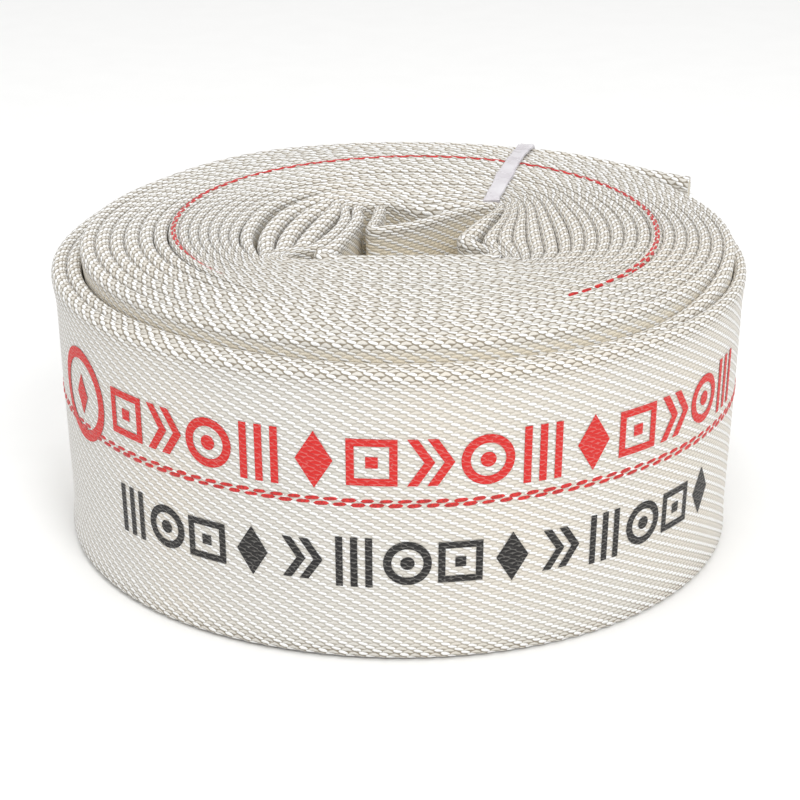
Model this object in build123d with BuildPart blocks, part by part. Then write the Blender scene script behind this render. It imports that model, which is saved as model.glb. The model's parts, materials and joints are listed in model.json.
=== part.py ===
"""Rolled lay-flat fire hose: a woven jacket with a bonded lining, wound flat and held by a film tie."""

from build123d import *
import os
from math import cos, pi, radians, sin

os.makedirs("parts", exist_ok=True)

# Driving dimensions, in millimetres and degrees.
LAY_FLAT_WIDTH = 104.0  # half the girth of a 65 mm bore hose, with its wall
FLAT_THICKNESS = 3.2  # two jacket walls and two lining walls
JACKET_WALL = 0.9
LINING_WALL = 0.54
BOND_GAP = 0.03  # between the jacket's inside and the lining
ROLL_RADIUS = 127.4  # outside of the last turn, at the back
TURN_PITCH = 4.05  # mean distance from one turn to the next
CREEP = 0.4  # how far a turn's centre moves towards the back of the roll
CREEP_ANGLE = 110.0  # the direction of that move, seen from above
CORE_LIFT = 7.0  # the inner turns stand this much higher than the outer ones

# Places along the winding: degrees turned inward, counted from +X, counter-clockwise from above.
TAIL_TANGENT = 75.0  # where the outer end leaves the roll
CORE_START = 695.0  # where the lifted core begins
INNER_CORNER = 21 * 360 + 35.0  # where the last turn folds across the hollow
CORE_STRETCHES = ("outermost", "outer", "inner", "innermost")
STRETCH_TURNS = 5
RED_TURN_START = 7 * 360 + 310.0  # the turn whose marker yarns run along its top fold
RED_TURN_END = 8 * 360 + 215.0

# The free outer end: a straight run past the tangent point, split at its two bends.
TAIL_HELD = 25.0  # under the tie
TAIL_SEGMENT = 31.0  # each of the two free stretches
ROOT_GAP = 0.8  # left open at the first bend
MIDDLE_GAP = 1.6  # and at the second

# The inner end crosses the hollow in a straight run and ends in a free flap.
CORNER_RADIUS = 8.0
CORNER_TURN = 90.0
INNER_RUN = 34.0
FLAP_LENGTH = 24.0
FLAP_BEND = -115.0  # from the straight run back to the flap, at rest
FLAP_GAP = 3.5  # left open on each side of the bend

# Marker yarns: two thin strands side by side.
STRAND_WIDTH = 1.1
STRAND_THICKNESS = 0.2
STRAND_SPACING = 1.5
MARKER_HEIGHT = 58.0

# The film tie, round one side of the roll and through its hollow.
TIE_WIDTH = 6.0
TIE_THICKNESS = 0.5
TIE_CORNER = 1.0
TIE_IN_CORNER = 2.0  # from the middle of the inner corner towards the outside
TIE_PLACE_ON_TAIL = 20.0
TIE_CLEARANCE = 0.8
TIE_SKIM = 0.1  # above and below the folds that it crosses
TIE_LOWEST = 0.05  # above the surface that the roll lies on
GROOVE_WIDTH = TIE_WIDTH + 1.0
SEAL_LENGTH = 14.0
SEAL_HEIGHT = 60.0

HALF = FLAT_THICKNESS / 2
CAVITY_HALF = HALF - JACKET_WALL
LINING_HALF = CAVITY_HALF - BOND_GAP
SLIT_HALF = LINING_HALF - LINING_WALL
MID_RADIUS = ROLL_RADIUS - HALF
OPEN_END = 2.0  # how far a cut runs past an open straight end
OPEN_TURN = 1.0  # and past an open wound end, in degrees


def along(angle, distance):
    """A step of this length in this direction, seen from above."""
    return Vector(distance * cos(radians(angle)), distance * sin(radians(angle)))


def winding(centre):
    """(centre, radius, first angle, last angle) of each arc of the centre line, going inward.

    They are half turns, and at last the tight corner into the hollow.
    """
    radius = MID_RADIUS
    joint = CREEP_ANGLE
    towards_back = True
    while joint < INNER_CORNER:
        yield centre, radius, joint - 180, joint
        step = (TURN_PITCH + CREEP) / 2 if towards_back else (TURN_PITCH - CREEP) / 2
        centre += along(joint, step)
        radius -= step
        joint += 180
        towards_back = not towards_back
    yield centre, radius, joint - 180, INNER_CORNER
    corner = centre + along(INNER_CORNER, radius - CORNER_RADIUS)
    yield corner, CORNER_RADIUS, INNER_CORNER, INNER_CORNER + CORNER_TURN


def centred_start():
    """The last half turn's centre that puts the middle of the roll's outline at the origin."""
    (back, back_r, *_), (front, front_r, *_), (right, right_r, *_) = list(winding(Vector(0, 0)))[:3]
    middle_x = (front.X - front_r + right.X + right_r) / 2
    middle_y = (front.Y - front_r + back.Y + back_r) / 2
    return Vector(-middle_x, -middle_y)


WINDING = list(winding(centred_start()))
INNER_STOP = WINDING[-1][3]


def arcs_between(start, stop):
    """The arcs, cut to the winding from start to stop."""
    for centre, radius, first, last in WINDING:
        low = max(first, start)
        high = min(last, stop)
        if high > low:
            yield centre, radius, low, high


def point_at(angle, offset=0.0):
    """The centre line's point at this winding angle, moved outward by offset."""
    for centre, radius, first, last in WINDING:
        if first <= angle <= last:
            return centre + along(angle, radius + offset)


def band(start, stop, low, high, lead=0.0, run=0.0):
    """Adds a closed outline that follows the winding between two offsets from its centre line.

    lead and run are straight stretches before start and after stop, along the tangents there.
    """
    starts = []
    stops = []
    for offset in (low, high):
        starts.append(point_at(start, offset) + along(start - 90, lead))
        stops.append(point_at(stop, offset) + along(stop + 90, run))
        if lead:
            Line(starts[-1], point_at(start, offset))
        for centre, radius, first, last in arcs_between(start, stop):
            CenterArc(centre, radius + offset, first, last - first)
        if run:
            Line(point_at(stop, offset), stops[-1])
    Line(*starts)
    Line(*stops)


def band_solid(span, low, high, bottom, height, lead=0.0, run=0.0, mode=Mode.ADD):
    """Extrudes the winding's band from bottom up, as part of the open BuildPart."""
    with BuildSketch(Plane.XY.offset(bottom)) as outline:
        with BuildLine():
            band(*span, low, high, lead, run)
        make_face()
    extrude(outline.sketch, amount=height, mode=mode)


def run_plane(origin, heading, bottom):
    """A plane at this height whose X axis lies along a straight run of hose."""
    return Plane(
        origin=(origin.X, origin.Y, bottom),
        x_dir=along(heading, 1),
        z_dir=(0, 0, 1),
    )


def slab(plane, first, last, low, high, height, mode=Mode.ADD):
    """Extrudes a straight run of hose, as part of the open BuildPart."""
    with BuildSketch(plane) as outline:
        with Locations(((first + last) / 2, (low + high) / 2)):
            Rectangle(last - first, high - low)
    extrude(outline.sketch, amount=height, mode=mode)


def export(name, label):
    name.part.label = label
    export_step(name.part, f"parts/{label}.step")


JACKET_INSET = JACKET_WALL
LINING_INSET = JACKET_WALL + BOND_GAP
SLIT_INSET = LINING_INSET + LINING_WALL


def wound_tube(span, half, inset, cavity_half, cavity_inset, bottom, lead, run):
    """A flattened tube along a stretch of the winding, open at both ends."""
    with BuildPart() as tube:
        height = LAY_FLAT_WIDTH - 2 * inset
        band_solid(span, -half, half, bottom + inset, height, lead, run)
        start, stop = span
        band_solid(
            (start if lead else start - OPEN_TURN, stop if run else stop + OPEN_TURN),
            -cavity_half,
            cavity_half,
            bottom + cavity_inset,
            LAY_FLAT_WIDTH - 2 * cavity_inset,
            lead + OPEN_END if lead else 0.0,
            run + OPEN_END if run else 0.0,
            Mode.SUBTRACT,
        )
    return tube


def wound_jacket(span, bottom, lead=0.0, run=0.0):
    """The woven jacket."""
    return wound_tube(span, HALF, 0, CAVITY_HALF, JACKET_INSET, bottom, lead, run)


def wound_lining(span, bottom, lead=0.0, run=0.0):
    """The bonded lining inside the jacket, with its own narrow flattened bore."""
    return wound_tube(span, LINING_HALF, LINING_INSET, SLIT_HALF, SLIT_INSET, bottom, lead, run)


def straight_tube(origin, heading, stretch, half, inset, cavity_half, cavity_inset, bottom):
    """A straight flattened tube, open at both ends."""
    first, last = stretch
    with BuildPart() as tube:
        plane = run_plane(origin, heading, bottom + inset)
        slab(plane, first, last, -half, half, LAY_FLAT_WIDTH - 2 * inset)
        plane = run_plane(origin, heading, bottom + cavity_inset)
        slab(
            plane,
            first - OPEN_END,
            last + OPEN_END,
            -cavity_half,
            cavity_half,
            LAY_FLAT_WIDTH - 2 * cavity_inset,
            Mode.SUBTRACT,
        )
    return tube


def straight_pair(place, origin, heading, stretch, bottom):
    """The jacket and the lining of one straight free run."""
    walls = (HALF, 0, CAVITY_HALF, JACKET_INSET)
    export(straight_tube(origin, heading, stretch, *walls, bottom), f"jacket_{place}")
    walls = (LINING_HALF, LINING_INSET, SLIT_HALF, SLIT_INSET)
    export(straight_tube(origin, heading, stretch, *walls, bottom), f"lining_{place}")


# The film tie's vertical plane: from the hollow's back wall to the outside of the held tail.
tangent_point = point_at(TAIL_TANGENT)
tail_heading = TAIL_TANGENT - 90
tail_skin = along(TAIL_TANGENT, HALF + STRAND_THICKNESS)
tie_outside = tangent_point + along(tail_heading, TIE_PLACE_ON_TAIL) + tail_skin
inner_corner = WINDING[-1][0]
tie_inside = inner_corner + (tie_outside - inner_corner).normalized() * TIE_IN_CORNER
tie_run = tie_outside - tie_inside
tie_direction = tie_run.normalized()
tie_plane = Plane(
    origin=(tie_inside.X, tie_inside.Y, 0),
    x_dir=tie_direction,
    z_dir=tie_direction.cross(Vector(0, 0, 1)),
)
tie_top = CORE_LIFT + LAY_FLAT_WIDTH + STRAND_THICKNESS + TIE_SKIM
tie_floor = TIE_LOWEST + TIE_THICKNESS
tie_far = tie_run.length + TIE_CLEARANCE
groove_depth = tie_floor + TIE_SKIM


def tie_loop(grow, mode=Mode.ADD):
    """Extrudes the tie's outline, grown outward from its inner face, across its width."""
    corners = [
        (-grow, tie_floor - grow),
        (tie_far + grow, tie_floor - grow),
        (tie_far + grow, tie_top + grow),
        (-grow, tie_top + grow),
    ]
    with BuildSketch(tie_plane) as outline:
        with BuildLine():
            FilletPolyline(*corners, radius=TIE_CORNER + grow, close=True)
        make_face()
    extrude(outline.sketch, amount=TIE_WIDTH / 2, both=True, mode=mode)


# Woven jacket and lining of the two low outer turns, with the stretch that the tie holds.
outer_span = (TAIL_TANGENT, CORE_START)
outer_jacket = wound_jacket(outer_span, 0, TAIL_HELD)
with outer_jacket:
    # The tie presses a shallow groove into the lower folds.
    with BuildSketch(tie_plane) as groove:
        with Locations((tie_far / 2, groove_depth / 2)):
            Rectangle(tie_far + TURN_PITCH, groove_depth)
    extrude(groove.sketch, amount=GROOVE_WIDTH / 2, both=True, mode=Mode.SUBTRACT)
export(outer_jacket, "jacket_outer_turns")
export(wound_lining(outer_span, 0, TAIL_HELD), "lining_outer_turns")

# The lifted core, in stretches of a few turns; the innermost ends in the run across the hollow.
for number, place in enumerate(CORE_STRETCHES):
    span_start = CORE_START + number * STRETCH_TURNS * 360
    innermost = place == CORE_STRETCHES[-1]
    span = (span_start, INNER_STOP if innermost else span_start + STRETCH_TURNS * 360)
    run = INNER_RUN if innermost else 0.0
    export(wound_jacket(span, CORE_LIFT, run=run), f"jacket_core_{place}")
    export(wound_lining(span, CORE_LIFT, run=run), f"lining_core_{place}")

# The free outer end, in two stretches that bend about vertical lines.
first_bend = TAIL_HELD + ROOT_GAP / 2
root_start = TAIL_HELD + ROOT_GAP
root_stop = root_start + TAIL_SEGMENT
second_bend = root_stop + MIDDLE_GAP / 2
end_start = root_stop + MIDDLE_GAP
tail_runs = {
    "tail_root": (root_start, root_stop),
    "tail_end": (end_start, end_start + TAIL_SEGMENT),
}
for place, stretch in tail_runs.items():
    straight_pair(place, tangent_point, tail_heading, stretch, 0)

# The free inner end.
run_heading = INNER_STOP + 90
flap_heading = run_heading + FLAP_BEND
flap_bend = point_at(INNER_STOP) + along(run_heading, INNER_RUN + FLAP_GAP)
flap_stretch = (FLAP_GAP, FLAP_GAP + FLAP_LENGTH)
straight_pair("inner_flap", flap_bend, flap_heading, flap_stretch, CORE_LIFT)

# Marker yarns on the outer face of the outer turns, side by side above the middle.
with BuildPart() as marker_outer:
    for strand in (-1, 1):
        height = MARKER_HEIGHT + strand * STRAND_SPACING / 2 - STRAND_WIDTH / 2
        outside = HALF + STRAND_THICKNESS
        band_solid(outer_span, HALF, outside, height, STRAND_WIDTH, TAIL_HELD)
export(marker_outer, "marker_yarns_outer_turns")

# The same yarns on the free outer end.
for place, (first, last) in tail_runs.items():
    with BuildPart() as marker_tail:
        for strand in (-1, 1):
            height = MARKER_HEIGHT + strand * STRAND_SPACING / 2 - STRAND_WIDTH / 2
            plane = run_plane(tangent_point, tail_heading, height)
            slab(plane, first, last, HALF, HALF + STRAND_THICKNESS, STRAND_WIDTH)
    export(marker_tail, f"marker_yarns_{place}")

# Where the hose has rolled over on itself, the yarns lie along the top fold of one core turn.
with BuildPart() as marker_core:
    for strand in (-1, 1):
        inside = (strand * STRAND_SPACING - STRAND_WIDTH) / 2
        outside = inside + STRAND_WIDTH
        crest = CORE_LIFT + LAY_FLAT_WIDTH
        band_solid((RED_TURN_START, RED_TURN_END), inside, outside, crest, STRAND_THICKNESS)
export(marker_core, "marker_yarns_core_turn")

# The film tie, and the welded overlap that closes it.
with BuildPart() as tie:
    tie_loop(TIE_THICKNESS)
    tie_loop(0, Mode.SUBTRACT)
export(tie, "tie_band")

with BuildPart() as seal:
    with BuildSketch(tie_plane):
        with Locations((tie_far + 1.5 * TIE_THICKNESS, SEAL_HEIGHT)):
            Rectangle(TIE_THICKNESS, SEAL_LENGTH)
    extrude(amount=TIE_WIDTH / 2, both=True)
export(seal, "tie_band_seal")

turns = (INNER_CORNER - TAIL_TANGENT) / 360
wound = sum(r * radians(b - a) for _, r, a, b in arcs_between(TAIL_TANGENT, INNER_STOP))
free = tail_runs["tail_end"][1] + INNER_RUN + 2 * FLAP_GAP + FLAP_LENGTH
print(f"turns {turns:.2f}, hose length {(wound + free) / 1000:.2f} m, bore {2 * LAY_FLAT_WIDTH / pi:.1f} mm")
print("first bend", tangent_point + along(tail_heading, first_bend) + tail_skin)
print("second bend", tangent_point + along(tail_heading, second_bend))
print("outer mouth", tangent_point + along(tail_heading, tail_runs["tail_end"][1]))
print("flap bend", flap_bend, "inner mouth", flap_bend + along(flap_heading, flap_stretch[1]))
print("hollow", WINDING[-2], "corner", inner_corner, "tie", tie_inside, tie_outside)
print("under the front turn", point_at(270))
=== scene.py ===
"""Rolled lay-flat fire hose: the looks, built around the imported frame.

The hose is one flattened woven tube, wound from its outer end inward. Its centre line is made
first, in millimetres, and every piece of the hose is a stretch of it. Meshes are in metres.
"""

import json
import math

import bpy
import numpy as np
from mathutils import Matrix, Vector


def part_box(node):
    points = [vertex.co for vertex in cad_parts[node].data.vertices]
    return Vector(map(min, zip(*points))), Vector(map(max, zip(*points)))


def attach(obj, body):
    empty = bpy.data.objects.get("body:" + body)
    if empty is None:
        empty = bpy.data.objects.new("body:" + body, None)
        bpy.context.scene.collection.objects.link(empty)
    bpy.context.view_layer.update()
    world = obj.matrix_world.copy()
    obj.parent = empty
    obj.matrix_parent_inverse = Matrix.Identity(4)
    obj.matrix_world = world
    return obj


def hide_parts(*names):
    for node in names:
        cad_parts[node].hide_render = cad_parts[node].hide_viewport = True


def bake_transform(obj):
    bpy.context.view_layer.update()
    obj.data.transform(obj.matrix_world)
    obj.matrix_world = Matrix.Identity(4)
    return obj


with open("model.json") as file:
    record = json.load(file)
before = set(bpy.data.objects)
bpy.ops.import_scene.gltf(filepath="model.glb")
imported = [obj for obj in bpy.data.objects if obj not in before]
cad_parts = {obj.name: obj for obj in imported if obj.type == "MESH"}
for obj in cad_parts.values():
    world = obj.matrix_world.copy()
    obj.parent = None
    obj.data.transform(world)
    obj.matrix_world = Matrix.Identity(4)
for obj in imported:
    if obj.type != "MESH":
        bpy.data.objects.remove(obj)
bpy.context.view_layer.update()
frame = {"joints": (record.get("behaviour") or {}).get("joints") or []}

MM = 0.001
rng = np.random.default_rng(7)

# --- Places that the frame gives, in millimetres ---

joint_at = {j["name"]: np.array(j["pos_m"][:2]) / MM for j in frame["joints"]}
FIRST_BEND = joint_at["tail_peel"]
SECOND_BEND = joint_at["tail_bend"]
CORE = [np.array(corner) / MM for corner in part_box("jacket_core_innermost")]
HOSE_WIDTH = CORE[1][2] - CORE[0][2]
CORE_LIFT = CORE[0][2]

# --- Driving sizes of the hose, in millimetres and degrees ---

WALL = 0.9  # woven jacket
LINING_WALL = 0.5
BOND_GAP = 0.04  # between the jacket and the lining
HALF_FLAT = 1.6  # half the thickness of the flattened hose
HALF_FOLD_MOST = 3.1  # the folded edges bulge to this, where there is room
HALF_FOLD_LEAST = 1.45
FREE_HALF_FOLD = 2.0
FLOAT_REPEAT = 6.8  # the weave's repeat along the hose
ROWS_IN_REPEAT = 3
ROW_REPEATS = 60  # of those repeats round the girth
FOLD_ARC = 3.5  # girth of a quarter of a fold
FACE_HEIGHT = HOSE_WIDTH - 4.4  # the flat face between the two folds
HALF_GIRTH = FACE_HEIGHT + 2 * FOLD_ARC
GIRTH_PER_FACE = (HALF_GIRTH - 2 * FOLD_ARC) / FACE_HEIGHT
ROWS_REPEAT = 2 * HALF_GIRTH / ROW_REPEATS
RING_STEP = FLOAT_REPEAT / 6

POLE = np.array([8.0, -8.0])  # winding angles are counted about this point
TAIL_TANGENT = 75.0
OUTER_STOP = 695.0  # where the raised core starts
CORE_TURNS = 1800.0  # degrees in each piece of the core

# (turns in from the outer end, centre x, centre y, half width, half depth) of the round turns.
RIM = (0.0, 1.2, 0.4, 126.4, 124.8)
MARKED_TURN = (8.04, 5.0, 6.0, 88.5, 88.5)
MARKED_START = 7 * 360 + 310.0
MARKED_STOP = 8 * 360 + 215.0

# A turn that is already pushed out of round by the folds of the hollow.
OVAL_DEPTH = 15.0
OVAL = [
    (59, -8), (58, 20), (53.5, 44), (36, 58.5), (8, 62), (-25, 57), (-48, 37),
    (-57, 6), (-55, -20), (-43, -40), (-15, -51), (20, -51.5), (45, -43), (56.5, -27),
]

# The last two turns, which buckle inward on the right and are pinched on the left.
LAST_TURNS_START = 6840.0
NEIGHBOUR_TURN = 770.0  # from this far past it, no other turn lies inside
FREE_TURN = 722.0  # and from this far past its first point, the hose stands free
LAST_TURNS = [
    (44, 37), (40, 43.5), (30, 45), (20, 43), (8, 40), (-5, 43), (-14, 41.5), (-20.3, 34),
    (-20, 22), (-22.5, 6), (-29.5, -14), (-37, -22), (-41, -27.5), (-35, -32),
    (-15, -32.3), (10, -31.8), (32, -31.5), (38.5, -29.5), (38, -24), (33.3, -9),
    (35, 3), (39, 17), (41.8, 34),
    (38.5, 39.3), (30, 40), (20, 36.5), (11, 33.5), (3, 35.5), (-3, 38.5),
    (-9.5, 38.5), (-14.5, 35.5), (-16, 30), (-15.5, 21), (-18, 6), (-24, -15),
    (-27.5, -22.5), (-23, -28), (-10, -28.3), (10, -28), (28, -27.8), (34, -26),
    (33, -21), (24.5, -8), (26.5, 1), (31, 12.5), (36.5, 25), (38.8, 31.5),
]
INNER_RUN = [(36, 35.3), (29, 33), (20, 25), (8, 13), (0, 8)]
INNER_FOLD = [(-6, 5.2), (-9.3, 4.8), (-10.3, 7.5), (-9.3, 13)]
INNER_FLAP = [(-8, 22), (-7, 33)]


# --- Curves ---

def smooth(points, closed=False, steps=24):
    """A Catmull-Rom curve through the points."""
    p = np.array(points, float)
    if closed:
        p = np.vstack([p[-1], p, p[:2]])
    else:
        p = np.vstack([2 * p[0] - p[1], p, 2 * p[-1] - p[-2]])
    t = np.linspace(0, 1, steps, endpoint=False)[:, None]
    spans = []
    for a, b, c, d in zip(p, p[1:], p[2:], p[3:]):
        cubic = 2 * b + (c - a) * t + (2 * a - 5 * b + 4 * c - d) * t**2
        spans.append((cubic + (3 * b - a - 3 * c + d) * t**3) / 2)
    if not closed:
        spans.append(p[-2][None])
    return np.vstack(spans)


def polar(points):
    """Unwrapped angle in degrees, and distance, of each point about the pole."""
    away = points - POLE
    angle = np.degrees(np.unwrap(np.arctan2(away[:, 1], away[:, 0])))
    return angle, np.hypot(away[:, 0], away[:, 1])


def ease(x, low, high):
    """Rises smoothly from 0 at low to 1 at high."""
    t = np.clip((x - low) / (high - low), 0, 1)
    return t * t * (3 - 2 * t)


def ellipse_reach(angle, key):
    """Distance from the pole to an ellipse at these angles."""
    _, x, y, half_width, half_depth = key
    away = (POLE - (x, y)) / (half_width, half_depth)
    step = np.stack([np.cos(np.radians(angle)) / half_width, np.sin(np.radians(angle)) / half_depth])
    a = (step**2).sum(0)
    b = away @ step
    c = away @ away - 1
    return (-b + np.sqrt(b * b - a * c)) / a


oval_angle, oval_reach = polar(smooth(OVAL, closed=True))
last_turns = smooth(LAST_TURNS + INNER_RUN + INNER_FOLD + INNER_FLAP)
last_angle, last_reach = polar(last_turns)
LAST_START_ANGLE = last_angle[0]
one_turn = int(np.argmax(last_angle > LAST_START_ANGLE + 361))
last_angle = np.maximum.accumulate(last_angle) + 1e-6 * np.arange(len(last_angle))


def spiral_reach(winding):
    """Distance from the pole to the centre line, for the turns before the last two."""
    depth = (winding - TAIL_TANGENT) / 360
    near_start = np.mod(winding - LAST_START_ANGLE, 360) + LAST_START_ANGLE
    last_depth = (LAST_TURNS_START + near_start - TAIL_TANGENT) / 360
    last = np.interp(near_start, last_angle[:one_turn], last_reach[:one_turn])
    oval = np.interp(winding, oval_angle, oval_reach, period=360)
    rim = ellipse_reach(winding, RIM)
    marked = ellipse_reach(winding, MARKED_TURN)
    marked_depth = MARKED_TURN[0]
    outside = rim + (marked - rim) * depth / marked_depth
    between = marked + (oval - marked) * (depth - marked_depth) / (OVAL_DEPTH - marked_depth)
    inside = oval + (last - oval) * (depth - OVAL_DEPTH) / (last_depth - OVAL_DEPTH)
    return np.where(depth < marked_depth, outside, np.where(depth < OVAL_DEPTH, between, inside))


def centre_line():
    """Points of the whole centre line from the outer mouth inward, with their winding angles."""
    last_winding = LAST_TURNS_START + last_angle
    winding = np.arange(TAIL_TANGENT, LAST_TURNS_START + LAST_START_ANGLE, 0.4)
    reach = spiral_reach(winding)
    turn = np.radians(winding)
    spiral = POLE + np.stack([reach * np.cos(turn), reach * np.sin(turn)], 1)
    heading = spiral[0] - spiral[1]
    heading /= np.linalg.norm(heading)
    length = TAIL_REACH
    tail_steps = np.arange(length, 0, -1.0)
    tail = spiral[0] + heading * tail_steps[:, None]
    points = np.vstack([tail, spiral, last_turns])
    # Along the tail the winding angle goes on as if it were still on the rim.
    tail_winding = TAIL_TANGENT - np.degrees(tail_steps / RIM[3])
    return points, np.concatenate([tail_winding, winding, last_winding])


TAIL_REACH = float(np.linalg.norm(SECOND_BEND - FIRST_BEND)) + 49.0
raw_points, raw_winding = centre_line()
raw_length = np.concatenate([[0], np.cumsum(np.linalg.norm(np.diff(raw_points, axis=0), axis=1))])
ring_at = np.arange(0, raw_length[-1], RING_STEP)
line = np.stack([np.interp(ring_at, raw_length, raw_points[:, k]) for k in (0, 1)], 1)
winding_at = np.interp(ring_at, raw_length, raw_winding)
tangent = np.gradient(line, axis=0)
tangent /= np.linalg.norm(tangent, axis=1)[:, None]
outward = np.stack([tangent[:, 1], -tangent[:, 0]], 1)
HOSE_LENGTH = ring_at[-1]


def nearest(point, rings):
    """Distance along the hose of the one of these rings that is nearest to a plan point."""
    away = np.linalg.norm(line[rings] - point, axis=1)
    return ring_at[rings][np.argmin(away)]


OUTER_END = slice(0, 120)  # rings enough to pass both bends of the outer end
INNER_END = slice(-200, None)  # and the inner end's fold
STOPS = {
    "tail_middle": nearest(SECOND_BEND, OUTER_END),
    "tail_start": nearest(FIRST_BEND, OUTER_END),
    "run_end": nearest(INNER_RUN[-1], INNER_END),
}


def neighbour_gap(turns):
    """Distance to the neighbouring turn, measured square to the hose."""
    there = winding_at + 360 * turns
    other = np.stack([np.interp(there, winding_at, line[:, k]) for k in (0, 1)], 1)
    gap = np.abs(((other - line) * outward).sum(1))
    outside = (there < winding_at[0]) | (there > LAST_TURNS_START + NEIGHBOUR_TURN)
    return np.where(outside, np.nan, gap)


def soften(values, width):
    """A running mean along the hose."""
    pad = np.pad(values, width, mode="edge")
    kernel = np.ones(2 * width + 1) / (2 * width + 1)
    return np.convolve(pad, kernel, mode="valid")


room = np.fmin(neighbour_gap(-1), neighbour_gap(1)) / 2
free_end = winding_at > LAST_TURNS_START + LAST_START_ANGLE + FREE_TURN
room = np.where(free_end, FREE_HALF_FOLD, room)
half_fold = np.clip(np.nan_to_num(room, nan=FREE_HALF_FOLD), HALF_FOLD_LEAST, HALF_FOLD_MOST)
half_fold = soften(half_fold, 4)
half_middle = np.minimum(HALF_FLAT, half_fold * 0.93)


def wander(scale, seed_shift=0.0):
    """A slow, smooth unevenness along the hose, between about -1 and 1."""
    x = ring_at / scale + seed_shift
    return (np.sin(x) + 0.6 * np.sin(2.3 * x + 1.7) + 0.35 * np.sin(4.9 * x + 0.6)) / 1.95


BACK_RISE = (5, 48)  # the outer turns rise at the back between these directions
BACK_FALL = (112, 168)  # and sink again between these
CORE_RISE = (670, 722)  # windings between which the hose climbs to the core
TAIL_RISE = (TAIL_TANGENT - 42, TAIL_TANGENT - 8)


def lift_of(winding):
    """How high the lower fold stands: the two outer turns sag at the front and the left."""
    direction = np.mod(winding, 360)
    at_back = ease(direction, *BACK_RISE) * (1 - ease(direction, *BACK_FALL))
    climbing = at_back + (1 - at_back) * ease(winding, *CORE_RISE)
    raised = np.where(winding < CORE_RISE[0], at_back, climbing)
    return CORE_LIFT * np.where(winding < TAIL_TANGENT, ease(winding, *TAIL_RISE), raised)


DOME = 2.4  # the middle turns stand this much higher at the back
depth_at = (winding_at - TAIL_TANGENT) / 360
behind = (1 + np.sin(np.radians(winding_at))) / 2
dome = DOME * behind * ease(depth_at, 0.5, 8) * (1 - ease(depth_at, 11, 19))
lower_fold = lift_of(winding_at) + 0.35 * (1 + wander(60.0))
upper_fold = lift_of(winding_at) + HOSE_WIDTH - 0.3 + dome + 0.45 * wander(95.0, 3.0)


# --- The hose's cross-section ---

FOLD_STEPS = 5  # columns in a quarter of a fold
# Places of the columns down a face, from the upper fold: few where the winding hides them.
HIDDEN_SIDE = (3.0, 9.0, 50.0, 90.6, 96.6)
SHOWN_SIDE = tuple(np.linspace(1.2, FACE_HEIGHT - 1.2, 84))


def columns(shown_outside):
    """The ring's columns from the lower fold, up the inner face, over and down the outer face.

    Each is (girth from the upper fold's middle, part, angle on a fold, place down a face), with
    None for the angle on a face and for the place on a fold.
    """
    outer = SHOWN_SIDE if shown_outside else HIDDEN_SIDE
    quarter = np.linspace(0, 90, FOLD_STEPS + 1)
    made = []
    for angle in quarter:
        made.append((-HALF_GIRTH + FOLD_ARC * angle / 90, "low", 270 - angle, None))
    for place in HIDDEN_SIDE[::-1]:
        made.append((-FOLD_ARC - place * GIRTH_PER_FACE, "inner", None, place))
    for angle in quarter[:-1]:
        made.append((-FOLD_ARC + FOLD_ARC * angle / 90, "top", 180 - angle, None))
    for angle in quarter:
        made.append((FOLD_ARC * angle / 90, "top", 90 - angle, None))
    for place in outer:
        made.append((FOLD_ARC + place * GIRTH_PER_FACE, "outer", None, place))
    for angle in quarter[:-1]:
        made.append((HALF_GIRTH - FOLD_ARC + FOLD_ARC * angle / 90, "low", -angle, None))
    return made


def twill(u, v):
    """The weave's relief at this place, in repeats along and round the hose: -1 to 1."""
    diagonal = np.cos(2 * math.pi * (u - v))
    floats = np.cos(2 * math.pi * (ROWS_IN_REPEAT * v)) * diagonal
    return 0.6 * diagonal + 0.4 * floats


TAPER = 0.022  # the outer turns lean in towards the floor
FOLD_RISE = 1.1  # a fold's height over its half width
FACE_RELIEF = 0.05  # the weave's depth on a face
FOLD_RELIEF = 0.11  # and how much deeper it is on a fold
FOLD_SWELL = 6.5  # the folds' bulge dies away over this height


def nearness_to_fold(place):
    """1 on a fold, and less down a face."""
    if place is None:
        return 1.0
    return math.exp(-min(place, FACE_HEIGHT - place) / 3)


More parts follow.
